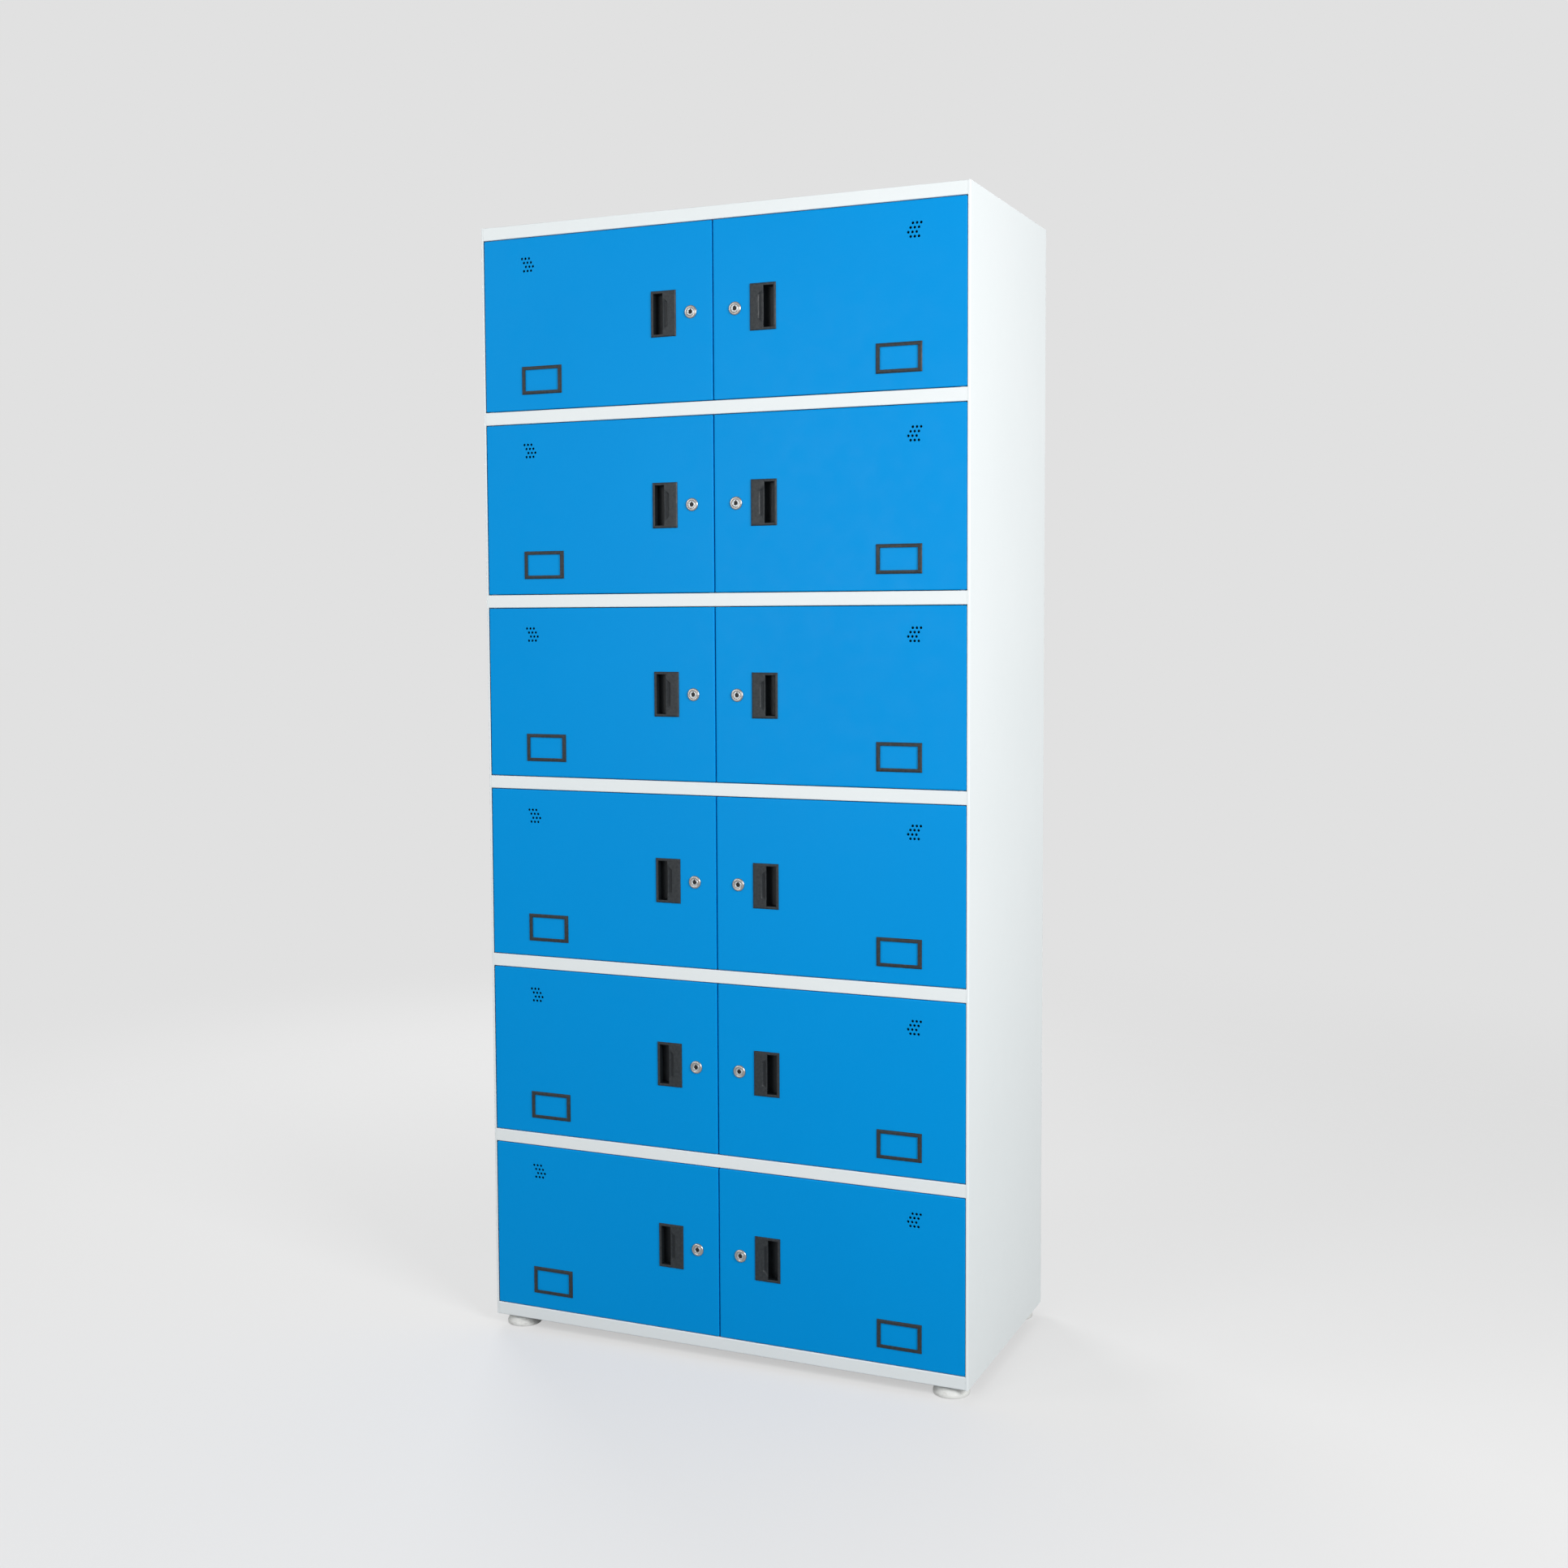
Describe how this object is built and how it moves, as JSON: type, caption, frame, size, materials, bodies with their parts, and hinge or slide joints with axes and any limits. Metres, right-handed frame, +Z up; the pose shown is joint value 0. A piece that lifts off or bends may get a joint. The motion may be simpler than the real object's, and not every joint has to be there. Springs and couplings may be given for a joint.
{
  "type": "locker",
  "caption": "Tall steel storage locker: stacked inset blue doors in a white cabinet, each with a flush pull, cam lock, card frame and vent holes, standing on levelling feet.",
  "frame": {"origin": "middle of the footprint on the floor, at the soles of the feet", "axes": "+Z up, +X to the right seen from the front, +Y from the front to the back"},
  "size_m": [0.9, 0.4526, 1.98],
  "materials": {
    "white_powder_coat": "fine textured semi-gloss white powder coat",
    "blue_powder_coat": "smooth semi-gloss sky-blue powder coat",
    "black_plastic": "fine grained moulded charcoal plastic",
    "chrome": "bright plated zinc",
    "zinc_steel": "plain zinc plate",
    "white_nylon": "moulded off-white nylon"
  },
  "bodies": {
    "cabinet": {"left_side_panel": "white_powder_coat", "right_side_panel": "white_powder_coat", "back_panel": "white_powder_coat", "top_panel": "white_powder_coat", "shelves_and_floor": "white_powder_coat", "centre_partitions": "white_powder_coat", "foot_brackets": "white_powder_coat", "hinge_rods_and_washers": "zinc_steel"},
    "foot_front_left": {"foot_front_left": "white_nylon"},
    "foot_front_right": {"foot_front_right": "white_nylon"},
    "foot_rear_left": {"foot_rear_left": "white_nylon"},
    "foot_rear_right": {"foot_rear_right": "white_nylon"},
    "door_1_left": {"door_panel_1_left": "blue_powder_coat", "pull_and_card_frame_1_left": "black_plastic", "lock_body_1_left": "chrome"},
    "lock_1_left": {"lock_plug_and_cam_1_left": "chrome"},
    "door_1_right": {"door_panel_1_right": "blue_powder_coat", "pull_and_card_frame_1_right": "black_plastic", "lock_body_1_right": "chrome"},
    "lock_1_right": {"lock_plug_and_cam_1_right": "chrome"},
    "door_2_left": {"door_panel_2_left": "blue_powder_coat", "pull_and_card_frame_2_left": "black_plastic", "lock_body_2_left": "chrome"},
    "lock_2_left": {"lock_plug_and_cam_2_left": "chrome"},
    "door_2_right": {"door_panel_2_right": "blue_powder_coat", "pull_and_card_frame_2_right": "black_plastic", "lock_body_2_right": "chrome"},
    "lock_2_right": {"lock_plug_and_cam_2_right": "chrome"},
    "door_3_left": {"door_panel_3_left": "blue_powder_coat", "pull_and_card_frame_3_left": "black_plastic", "lock_body_3_left": "chrome"},
    "lock_3_left": {"lock_plug_and_cam_3_left": "chrome"},
    "door_3_right": {"door_panel_3_right": "blue_powder_coat", "pull_and_card_frame_3_right": "black_plastic", "lock_body_3_right": "chrome"},
    "lock_3_right": {"lock_plug_and_cam_3_right": "chrome"},
    "door_4_left": {"door_panel_4_left": "blue_powder_coat", "pull_and_card_frame_4_left": "black_plastic", "lock_body_4_left": "chrome"},
    "lock_4_left": {"lock_plug_and_cam_4_left": "chrome"},
    "door_4_right": {"door_panel_4_right": "blue_powder_coat", "pull_and_card_frame_4_right": "black_plastic", "lock_body_4_right": "chrome"},
    "lock_4_right": {"lock_plug_and_cam_4_right": "chrome"},
    "door_5_left": {"door_panel_5_left": "blue_powder_coat", "pull_and_card_frame_5_left": "black_plastic", "lock_body_5_left": "chrome"},
    "lock_5_left": {"lock_plug_and_cam_5_left": "chrome"},
    "door_5_right": {"door_panel_5_right": "blue_powder_coat", "pull_and_card_frame_5_right": "black_plastic", "lock_body_5_right": "chrome"},
    "lock_5_right": {"lock_plug_and_cam_5_right": "chrome"},
    "door_6_left": {"door_panel_6_left": "blue_powder_coat", "pull_and_card_frame_6_left": "black_plastic", "lock_body_6_left": "chrome"},
    "lock_6_left": {"lock_plug_and_cam_6_left": "chrome"},
    "door_6_right": {"door_panel_6_right": "blue_powder_coat", "pull_and_card_frame_6_right": "black_plastic", "lock_body_6_right": "chrome"},
    "lock_6_right": {"lock_plug_and_cam_6_right": "chrome"}
  },
  "joints": [
    {"name": "foot_front_left_thread", "type": "slide", "parent": "cabinet", "child": "foot_front_left", "axis": [0, 0, -1], "range_m": [0, 0.012]},
    {"name": "foot_front_right_thread", "type": "slide", "parent": "cabinet", "child": "foot_front_right", "axis": [0, 0, -1], "range_m": [0, 0.012]},
    {"name": "foot_rear_left_thread", "type": "slide", "parent": "cabinet", "child": "foot_rear_left", "axis": [0, 0, -1], "range_m": [0, 0.012]},
    {"name": "foot_rear_right_thread", "type": "slide", "parent": "cabinet", "child": "foot_rear_right", "axis": [0, 0, -1], "range_m": [0, 0.012]},
    {"name": "door_1_left_hinge", "type": "hinge", "parent": "cabinet", "child": "door_1_left", "pos_m": [-0.4356, -0.2167, 1.80729], "axis": [0, 0, -1], "range_deg": [0, 105]},
    {"name": "lock_1_left_turn", "type": "hinge", "parent": "door_1_left", "child": "lock_1_left", "pos_m": [-0.041, -0.2237, 1.80729], "axis": [0, -1, 0], "range_deg": [0, 90]},
    {"name": "door_1_right_hinge", "type": "hinge", "parent": "cabinet", "child": "door_1_right", "pos_m": [0.4356, -0.2167, 1.80729], "axis": [0, 0, 1], "range_deg": [0, 105]},
    {"name": "lock_1_right_turn", "type": "hinge", "parent": "door_1_right", "child": "lock_1_right", "pos_m": [0.041, -0.2237, 1.80729], "axis": [0, 1, 0], "range_deg": [0, 90]},
    {"name": "door_2_left_hinge", "type": "hinge", "parent": "cabinet", "child": "door_2_left", "pos_m": [-0.4356, -0.2167, 1.48438], "axis": [0, 0, -1], "range_deg": [0, 105]},
    {"name": "lock_2_left_turn", "type": "hinge", "parent": "door_2_left", "child": "lock_2_left", "pos_m": [-0.041, -0.2237, 1.48438], "axis": [0, -1, 0], "range_deg": [0, 90]},
    {"name": "door_2_right_hinge", "type": "hinge", "parent": "cabinet", "child": "door_2_right", "pos_m": [0.4356, -0.2167, 1.48438], "axis": [0, 0, 1], "range_deg": [0, 105]},
    {"name": "lock_2_right_turn", "type": "hinge", "parent": "door_2_right", "child": "lock_2_right", "pos_m": [0.041, -0.2237, 1.48438], "axis": [0, 1, 0], "range_deg": [0, 90]},
    {"name": "door_3_left_hinge", "type": "hinge", "parent": "cabinet", "child": "door_3_left", "pos_m": [-0.4356, -0.2167, 1.16146], "axis": [0, 0, -1], "range_deg": [0, 105]},
    {"name": "lock_3_left_turn", "type": "hinge", "parent": "door_3_left", "child": "lock_3_left", "pos_m": [-0.041, -0.2237, 1.16146], "axis": [0, -1, 0], "range_deg": [0, 90]},
    {"name": "door_3_right_hinge", "type": "hinge", "parent": "cabinet", "child": "door_3_right", "pos_m": [0.4356, -0.2167, 1.16146], "axis": [0, 0, 1], "range_deg": [0, 105]},
    {"name": "lock_3_right_turn", "type": "hinge", "parent": "door_3_right", "child": "lock_3_right", "pos_m": [0.041, -0.2237, 1.16146], "axis": [0, 1, 0], "range_deg": [0, 90]},
    {"name": "door_4_left_hinge", "type": "hinge", "parent": "cabinet", "child": "door_4_left", "pos_m": [-0.4356, -0.2167, 0.83854], "axis": [0, 0, -1], "range_deg": [0, 105]},
    {"name": "lock_4_left_turn", "type": "hinge", "parent": "door_4_left", "child": "lock_4_left", "pos_m": [-0.041, -0.2237, 0.83854], "axis": [0, -1, 0], "range_deg": [0, 90]},
    {"name": "door_4_right_hinge", "type": "hinge", "parent": "cabinet", "child": "door_4_right", "pos_m": [0.4356, -0.2167, 0.83854], "axis": [0, 0, 1], "range_deg": [0, 105]},
    {"name": "lock_4_right_turn", "type": "hinge", "parent": "door_4_right", "child": "lock_4_right", "pos_m": [0.041, -0.2237, 0.83854], "axis": [0, 1, 0], "range_deg": [0, 90]},
    {"name": "door_5_left_hinge", "type": "hinge", "parent": "cabinet", "child": "door_5_left", "pos_m": [-0.4356, -0.2167, 0.51562], "axis": [0, 0, -1], "range_deg": [0, 105]},
    {"name": "lock_5_left_turn", "type": "hinge", "parent": "door_5_left", "child": "lock_5_left", "pos_m": [-0.041, -0.2237, 0.51562], "axis": [0, -1, 0], "range_deg": [0, 90]},
    {"name": "door_5_right_hinge", "type": "hinge", "parent": "cabinet", "child": "door_5_right", "pos_m": [0.4356, -0.2167, 0.51562], "axis": [0, 0, 1], "range_deg": [0, 105]},
    {"name": "lock_5_right_turn", "type": "hinge", "parent": "door_5_right", "child": "lock_5_right", "pos_m": [0.041, -0.2237, 0.51562], "axis": [0, 1, 0], "range_deg": [0, 90]},
    {"name": "door_6_left_hinge", "type": "hinge", "parent": "cabinet", "child": "door_6_left", "pos_m": [-0.4356, -0.2167, 0.19271], "axis": [0, 0, -1], "range_deg": [0, 105]},
    {"name": "lock_6_left_turn", "type": "hinge", "parent": "door_6_left", "child": "lock_6_left", "pos_m": [-0.041, -0.2237, 0.19271], "axis": [0, -1, 0], "range_deg": [0, 90]},
    {"name": "door_6_right_hinge", "type": "hinge", "parent": "cabinet", "child": "door_6_right", "pos_m": [0.4356, -0.2167, 0.19271], "axis": [0, 0, 1], "range_deg": [0, 105]},
    {"name": "lock_6_right_turn", "type": "hinge", "parent": "door_6_right", "child": "lock_6_right", "pos_m": [0.041, -0.2237, 0.19271], "axis": [0, 1, 0], "range_deg": [0, 90]}
  ]
}
